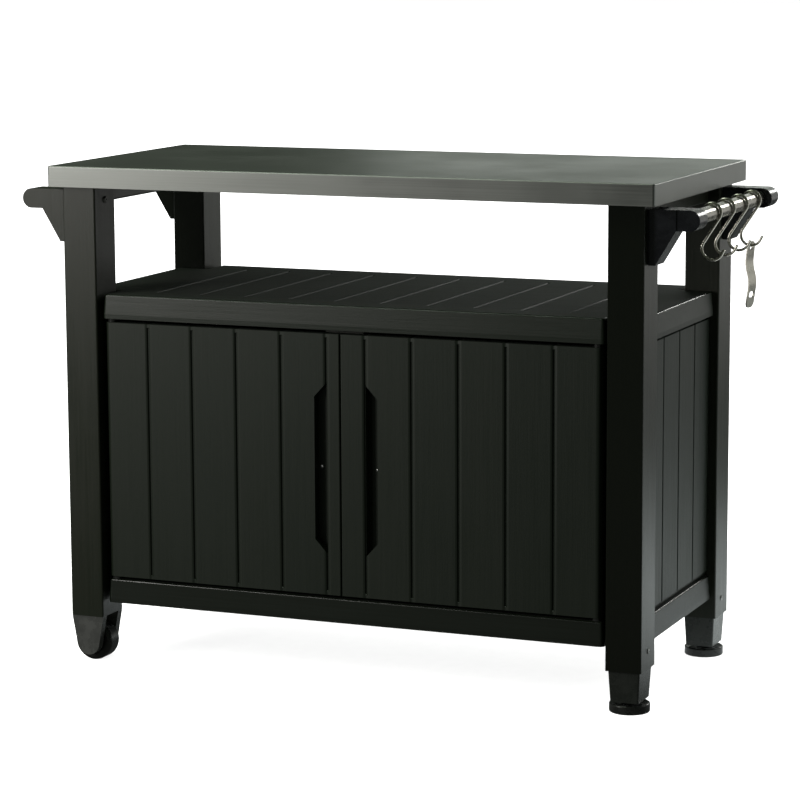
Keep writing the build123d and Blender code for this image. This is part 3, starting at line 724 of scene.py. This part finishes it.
def prism(outline, low, high, taper=1.0):
    """Closed prism over an outline, its lower outline scaled by taper."""
    shape = bmesh.new()
    under = [shape.verts.new((x * taper, y * taper, low)) for x, y in outline]
    over = [shape.verts.new((x, y, high)) for x, y in outline]
    shape.faces.new(under[::-1])
    shape.faces.new(over)
    for i in range(len(outline)):
        j = (i + 1) % len(outline)
        shape.faces.new((under[i], under[j], over[j], over[i]))
    bmesh.ops.recalc_face_normals(shape, faces=shape.faces)
    return shape


def scratch_object(shape, name):
    """Put a bmesh into the scene for a modifier to use."""
    mesh = bpy.data.meshes.new(name)
    shape.to_mesh(mesh)
    shape.free()
    made = bpy.data.objects.new(name, mesh)
    bpy.context.collection.objects.link(made)
    return made


def evaluated_mesh(made, name):
    """Plain mesh of an object with its modifiers applied."""
    graph = bpy.context.evaluated_depsgraph_get()
    mesh = bpy.data.meshes.new_from_object(made.evaluated_get(graph))
    mesh.name = name
    return mesh


def cut_head(name, profile, outline, depth, taper):
    """Screw or bolt head with a drive recess cut into its top."""
    settings = bpy.context.scene.prep_table.fasteners
    top = max(height for radius, height in profile)
    head = scratch_object(lathe(profile, settings.head_segments), name)
    drive = scratch_object(prism(outline, top - depth, top + depth, taper), f"{name}_drive")
    cut = head.modifiers.new("drive", "BOOLEAN")
    cut.operation, cut.solver, cut.object = "DIFFERENCE", "EXACT", drive
    head.data = evaluated_mesh(head, name)
    head.modifiers.clear()
    bpy.data.objects.remove(drive)
    return head


def cross_outline(reach, half_width):
    """Outline of a cross drive."""
    corners = []
    for c, s in ((1, 0), (0, 1), (-1, 0), (0, -1)):
        for x, y in ((reach, -half_width), (reach, half_width), (half_width, half_width)):
            corners.append((x * c - y * s, x * s + y * c))
    return corners


def hexagon(flats):
    """Outline of a hexagon by the distance over its flats."""
    reach = flats / math.sqrt(3.0)
    angles = [math.tau * i / 6 for i in range(6)]
    return [(reach * math.cos(angle), reach * math.sin(angle)) for angle in angles]


def dome(radius, height, shank, depth):
    """Profile of a round head on a shank that goes depth into the piece under it."""
    rim = DOME_RIM_SHARE * height
    profile = [(0.0, -depth), (shank, -depth), (shank, 0.0), (radius, 0.0), (radius, rim)]
    for i in range(1, DOME_STEPS + 1):
        angle = math.pi / 2 * i / DOME_STEPS
        profile.append((radius * math.cos(angle), rim + (height - rim) * math.sin(angle)))
    profile[-1] = (0.0, height)
    return profile


def geometry_tree(name, inputs):
    """Geometry node tree with named inputs. Returns its builder and the values of its inputs."""
    tree = bpy.data.node_groups.new(name, "GeometryNodeTree")
    tree.interface.new_socket("Geometry", in_out="OUTPUT", socket_type="NodeSocketGeometry")
    for label, kind in inputs:
        tree.interface.new_socket(label, in_out="INPUT", socket_type=f"NodeSocket{kind}")
    nodes = Nodes(tree)
    entry = tree.nodes.new("NodeGroupInput")
    values = {label: Value(nodes, entry.outputs[label]) for label, kind in inputs}
    return nodes, values


def close_tree(nodes, geometry, material):
    """End a tree in Realize Instances and Set Material."""
    solid = nodes.node("GeometryNodeRealizeInstances", None, {"Geometry": geometry})
    dressed = nodes.node("GeometryNodeSetMaterial", None, {"Geometry": solid, "Material": material})
    nodes.node("NodeGroupOutput", None, {0: dressed})
    return nodes.tree


def run_tree(carrier, tree, values, name):
    """Run a tree on an object and leave a plain mesh object in its place."""
    modifier = carrier.modifiers.new(tree.name, "NODES")
    modifier.node_group = tree
    for item in tree.interface.items_tree:
        if item.in_out == "INPUT" and item.name in values:
            modifier[item.identifier] = values[item.name]
    mesh = evaluated_mesh(carrier, name)
    carrier.modifiers.clear()
    carrier.data = mesh
    carrier.name = name
    return carrier


def soften(made, angle=35.0):
    """Shade a mesh smooth, with sharp edges past an angle."""
    for face in made.data.polygons:
        face.use_smooth = True
    made.data.set_sharp_from_angle(angle=math.radians(angle))
    return made


def fastener_tree():
    """Tree that stands a fastener on every point of a mesh, along the point's own axis."""
    nodes, given = geometry_tree(
        "fasteners_on_points",
        (("Geometry", "Geometry"), ("Shape", "Object"), ("Finish", "Material")),
    )
    attribute = "GeometryNodeInputNamedAttribute"
    facing = nodes.node(attribute, {"data_type": "FLOAT_VECTOR"}, {"Name": "facing"})
    turn = nodes.node(attribute, {"data_type": "FLOAT"}, {"Name": "turn"})
    spun = nodes.node(
        "FunctionNodeAxisAngleToRotation", None, {"Axis": (0.0, 0.0, 1.0), "Angle": turn},
    )
    stood = nodes.node(
        "FunctionNodeAlignRotationToVector", {"axis": "Z"}, {"Rotation": spun, "Vector": facing},
    )
    shape = nodes.node(
        "GeometryNodeObjectInfo", None, {"Object": given["Shape"]}, output="Geometry",
    )
    placed = nodes.node(
        "GeometryNodeInstanceOnPoints", None,
        {"Points": given["Geometry"], "Instance": shape, "Rotation": stood},
    )
    return close_tree(nodes, placed, given["Finish"])


def set_fasteners(tree, shape, places, name, material):
    """Fasteners at places (point, facing, turn in degrees), as one plain mesh."""
    mesh = bpy.data.meshes.new(name)
    mesh.from_pydata([place for place, facing, turn in places], [], [])
    mesh.attributes.new("facing", "FLOAT_VECTOR", "POINT")
    mesh.attributes.new("turn", "FLOAT", "POINT")
    # Fetched by name each time: adding an attribute leaves earlier references stale
    for i, (place, facing, turn) in enumerate(places):
        mesh.attributes["facing"].data[i].vector = facing
        mesh.attributes["turn"].data[i].value = math.radians(turn)
    carrier = bpy.data.objects.new(name, mesh)
    bpy.context.collection.objects.link(carrier)
    return soften(run_tree(carrier, tree, {"Shape": shape, "Finish": material}, name))


class PREPTABLE_OT_screws(bpy.types.Operator):
    """Make the foot screws, the pull screws and the bracket bolts with their drives"""

    bl_idname = "preptable.screws"
    bl_label = "Screws and bolts"

    def execute(self, context):
        depth = context.scene.prep_table.fasteners.drive_depth
        tree = fastener_tree()
        zinc = zinc_finish()
        low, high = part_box("post_screws")
        profile = dome(PAN_RADIUS, PAN_RISE, PAN_SHANK, PAN_SHANK_DEPTH)
        shape = cut_head("pan_head", profile, cross_outline(*PAN_CROSS), depth, CROSS_TAPER)
        x, y, z = high.x - PAN_RISE, high.y - PAN_RADIUS, (low.z + high.z) / 2
        places = []
        for i, (side, end) in enumerate(CORNERS):
            turn = PAN_TURN + PAN_TURN_STEP * i
            places.append(((side * x, end * y, z), (side, 0.0, 0.0), turn))
        screws = set_fasteners(tree, shape, places, "post_screw_heads", zinc)
        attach(screws, "frame")
        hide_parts("post_screws")
        bpy.data.objects.remove(shape)

        pull_only = pull_lamp(context.scene)
        for i, side in enumerate(("left", "right")):
            low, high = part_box(f"{side}_pull_screw")
            head, rise = (high.x - low.x) / 2, high.y - low.y
            profile = dome(head, rise, PULL_SHANK_SHARE * head, PULL_SHANK_DEPTH)
            cross = cross_outline(PULL_CROSS_SHARE * head, PULL_CROSS_HALF_WIDTH)
            shape = cut_head("pull_head", profile, cross, depth, CROSS_TAPER)
            centre = ((low.x + high.x) / 2, high.y, (low.z + high.z) / 2)
            places = [(centre, (0.0, -1.0, 0.0), PULL_TURN + PULL_TURN_STEP * i)]
            screw = set_fasteners(tree, shape, places, f"{side}_pull_screw_head", zinc)
            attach(screw, f"{side}_door")
            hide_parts(f"{side}_pull_screw")
            bpy.data.objects.remove(shape)
            pull_only.objects.link(screw)

        low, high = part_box("bracket_bolts")
        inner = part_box("front_right_post")[0].x
        head = (high.z - low.z) / 2
        profile = dome(head, BOLT_RISE, BOLT_SHANK, high.x - inner)
        drive = hexagon(BOLT_HEXAGON)
        shape = cut_head("button_head", profile, drive, BOLT_HEXAGON_DEPTH, BOLT_HEXAGON_TAPER)
        y, z = high.y - head, (low.z + high.z) / 2
        places = []
        for i, (side, end) in enumerate(CORNERS):
            places.append(((side * inner, end * y, z), (-side, 0.0, 0.0), BOLT_TURN_STEP * i))
        bolts = set_fasteners(tree, shape, places, "bracket_bolt_heads", zinc)
        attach(bolts, "frame")
        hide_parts("bracket_bolts")
        bpy.data.objects.remove(shape)
        return {"FINISHED"}


def thread_tree():
    """Tree that winds a thread round a stud's core."""
    nodes, given = geometry_tree(
        "foot_thread",
        (
            ("Geometry", "Geometry"), ("Radius", "Float"), ("Pitch", "Float"), ("Depth", "Float"),
            ("Length", "Float"), ("Foot", "Vector"), ("Finish", "Material"),
        ),
    )
    ridge = 0.5 * given["Depth"]
    mean = given["Radius"] - ridge
    winding = nodes.node(
        "GeometryNodeCurveSpiral", None,
        {
            "Resolution": THREAD_STEPS, "Rotations": given["Length"] / given["Pitch"],
            "Start Radius": mean, "End Radius": mean, "Height": given["Length"],
        },
    )
    section = nodes.node(
        "GeometryNodeCurvePrimitiveCircle", None, {"Resolution": RIDGE_SIDES, "Radius": ridge},
    )
    thread = nodes.node(
        "GeometryNodeCurveToMesh", None,
        {"Curve": winding, "Profile Curve": section, "Fill Caps": True},
    )
    raised = nodes.node(
        "GeometryNodeTransform", None, {"Geometry": thread, "Translation": given["Foot"]},
    )
    whole = nodes.node("GeometryNodeJoinGeometry", None, {"Geometry": [given["Geometry"], raised]})
    return close_tree(nodes, whole, given["Finish"])


class PREPTABLE_OT_studs(bpy.types.Operator):
    """Make the threaded studs of the levelling feet"""

    bl_idname = "preptable.studs"
    bl_label = "Foot studs"

    def execute(self, context):
        settings = context.scene.prep_table.fasteners
        tree = thread_tree()
        zinc = zinc_finish()
        for end in ("front", "rear"):
            low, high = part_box(f"{end}_foot_stud")
            centre = (low + high) / 2
            radius = (high.x - low.x) / 2
            core = radius - CORE_SHARE * settings.thread_depth
            shoulder = (core, high.z - STUD_BEVEL)
            tip = (core - STUD_BEVEL, high.z)
            profile = [(0.0, low.z), (core, low.z), shoulder, tip, (0.0, high.z)]
            shape = lathe(profile, STUD_SEGMENTS)
            bmesh.ops.translate(shape, verts=shape.verts, vec=(centre.x, centre.y, 0.0))
            stud = scratch_object(shape, f"{end}_stud_core")
            values = {
                "Radius": radius, "Pitch": settings.thread_pitch, "Depth": settings.thread_depth,
                "Length": high.z - low.z - 2 * STUD_BEVEL,
                "Foot": (centre.x, centre.y, low.z + STUD_BEVEL), "Finish": zinc,
            }
            stud = soften(run_tree(stud, tree, values, f"{end}_threaded_stud"))
            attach(stud, f"{end}_foot")
            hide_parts(f"{end}_foot_stud")
        return {"FINISHED"}


def camera_matrix(eye, yaw, pitch, roll):
    """Placement of the camera from its place and its yaw, pitch and roll in radians."""
    ahead = Vector((
        -math.sin(yaw) * math.cos(pitch), math.cos(yaw) * math.cos(pitch), math.sin(pitch),
    ))
    right = Vector((math.cos(yaw), math.sin(yaw), 0.0))
    up = right.cross(ahead)
    turned_right = math.cos(roll) * right + math.sin(roll) * up
    turned_up = math.cos(roll) * up - math.sin(roll) * right
    turn = Matrix((turned_right, turned_up, -ahead)).transposed()
    return Matrix.Translation(eye) @ turn.to_4x4()


def photo_camera(scene):
    """Set the camera at the photograph's viewing angle."""
    settings = scene.prep_table.stage
    lens = bpy.data.cameras.new("photo_camera")
    lens.lens = settings.lens
    lens.sensor_width = SENSOR_WIDTH
    lens.clip_end = VIEW_DEPTH
    camera = bpy.data.objects.new("photo_camera", lens)
    scene.collection.objects.link(camera)
    camera.matrix_world = camera_matrix(settings.eye, *settings.turn)
    scene.camera = camera


def studio_floor(scene):
    """Lay a floor that is pale in the picture and dull where the table mirrors it."""
    settings = scene.prep_table.stage
    sheet = bmesh.new()
    bmesh.ops.create_grid(sheet, x_segments=1, y_segments=1, size=FLOOR_EXTENT)
    floor = scratch_object(sheet, "studio_floor")
    paint = Finish("floor_paint")
    grit = paint.noise((30.0, 30.0, 30.0), detail=3.0)
    tone = paint.mix(grit, dimmed(settings.floor, GRIT_SHARE), settings.floor)
    pale = paint.node("ShaderNodeBsdfDiffuse", None, {"Color": tone})
    depth = paint.axis(1)
    behind = paint.spread(depth, *BOUNCE_BEGINS) * paint.spread(depth, *BOUNCE_ENDS)
    bounce = paint.mix(behind, settings.bounce, settings.back_bounce)
    dull = paint.node("ShaderNodeBsdfDiffuse", None, {"Color": bounce})
    seen = paint.node("ShaderNodeLightPath", output="Is Camera Ray")
    both = paint.node("ShaderNodeMixShader", None, {0: seen, 1: dull, 2: pale})
    paint.node("ShaderNodeOutputMaterial", {"is_active_output": True}, {"Surface": both})
    floor.data.materials.append(paint.material)
    return floor


def area_lamp(scene, name, place, target, width, height, power, colour):
    """Hang a lamp that looks at a target and isn't seen itself."""
    data = bpy.data.lights.new(name, "AREA")
    data.shape = "RECTANGLE"
    data.size, data.size_y = width, height
    data.energy = power * scene.prep_table.stage.power
    data.color = colour
    lamp = bpy.data.objects.new(name, data)
    scene.collection.objects.link(lamp)
    lamp.visible_camera = False
    lamp.location = place
    lamp.rotation_euler = (Vector(target) - Vector(place)).to_track_quat("-Z", "Y").to_euler()
    return lamp


def studio_lamps(scene):
    """Hang the studio lamps, and keep each off the pieces that it leaves in the shade."""
    for name, values in LAMPS.items():
        lamp = area_lamp(scene, name, *values)
        if name in SHADED:
            shaded = bpy.data.collections.new(f"shaded_from_{name}")
            for node in SHADED[name]:
                shaded.objects.link(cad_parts[node])
            for link in shaded.collection_objects:
                link.light_linking.link_state = "EXCLUDE"
            lamp.light_linking.receiver_collection = shaded


def pull_lamp(scene):
    """Hang the lamp for the screws in the pulls. Returns the collection of what it lights."""
    lamp = area_lamp(scene, "pull_lamp", *PULL_LAMP)
    lamp.data.use_shadow = False
    lamp.light_linking.receiver_collection = bpy.data.collections.new("pull_only")
    return lamp.light_linking.receiver_collection


def floor_suns(scene, floor):
    """Light the floor alone, with only a share of the light casting shadow."""
    floor_only = bpy.data.collections.new("floor_only")
    floor_only.objects.link(floor)
    shares = {"floor_light": (FLOOR_SHADOW, True), "floor_wash": (1.0 - FLOOR_SHADOW, False)}
    for name, (share, shadow) in shares.items():
        data = bpy.data.lights.new(name, "SUN")
        data.energy = share * scene.prep_table.stage.floor_light
        data.angle = math.radians(SUN_ANGLE)
        data.use_shadow = shadow
        sun = bpy.data.objects.new(name, data)
        scene.collection.objects.link(sun)
        sun.light_linking.receiver_collection = floor_only


def studio_world(scene):
    """Put a white wall behind the picture and a faint even light round the table."""
    settings = scene.prep_table.stage
    world = bpy.data.worlds.new("studio")
    scene.world = world
    world.use_nodes = True
    world.node_tree.nodes.clear()
    sky = Nodes(world.node_tree)
    seen = sky.node("ShaderNodeLightPath", output="Is Camera Ray")
    even = {"Color": opaque(settings.fill_colour), "Strength": settings.fill}
    fill = sky.node("ShaderNodeBackground", None, even)
    wall = sky.node("ShaderNodeBackground", None, {"Color": (1.0, 1.0, 1.0, 1.0), "Strength": 1.0})
    both = sky.node("ShaderNodeMixShader", None, {0: seen, 1: fill, 2: wall})
    sky.node("ShaderNodeOutputWorld", None, {"Surface": both})


class PREPTABLE_OT_stage(bpy.types.Operator):
    """Set up the camera, the floor and the studio light"""

    bl_idname = "preptable.stage"
    bl_label = "Stage"

    def execute(self, context):
        scene = context.scene
        photo_camera(scene)
        floor = studio_floor(scene)
        studio_lamps(scene)
        floor_suns(scene, floor)
        studio_world(scene)
        scene.view_settings.view_transform = "Standard"
        return {"FINISHED"}


class PREPTABLE_PT_panel(bpy.types.Panel):
    """Sidebar panel with the steps and settings"""

    bl_idname = "PREPTABLE_PT_panel"
    bl_label = "Prep table"
    bl_space_type = "VIEW_3D"
    bl_region_type = "UI"
    bl_category = "Prep table"

    def draw(self, context):
        for step in STEPS:
            self.layout.operator(step.bl_idname)
        settings = context.scene.prep_table
        for group in (settings.resin, settings.steel, settings.fasteners, settings.stage):
            part = self.layout.box()
            for name in type(group).__annotations__:
                part.prop(group, name)


STEPS = (
    PREPTABLE_OT_stage, PREPTABLE_OT_resin, PREPTABLE_OT_worktop, PREPTABLE_OT_bars,
    PREPTABLE_OT_wheels_and_feet, PREPTABLE_OT_screws, PREPTABLE_OT_studs,
)
CLASSES = (
    ResinSettings, SteelSettings, FastenerSettings, StageSettings, TableSettings,
    *STEPS, PREPTABLE_PT_panel,
)


def register():
    """Register the add-on's classes and its settings."""
    for item in CLASSES:
        bpy.utils.register_class(item)
    bpy.types.Scene.prep_table = PointerProperty(type=TableSettings)


def unregister():
    """Remove the add-on's settings and classes."""
    del bpy.types.Scene.prep_table
    for item in reversed(CLASSES):
        bpy.utils.unregister_class(item)


def main():
    """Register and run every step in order."""
    register()
    bpy.ops.preptable.stage()
    bpy.ops.preptable.resin()
    bpy.ops.preptable.worktop()
    bpy.ops.preptable.bars()
    bpy.ops.preptable.wheels_and_feet()
    bpy.ops.preptable.screws()
    bpy.ops.preptable.studs()


if __name__ == "__main__":
    main()
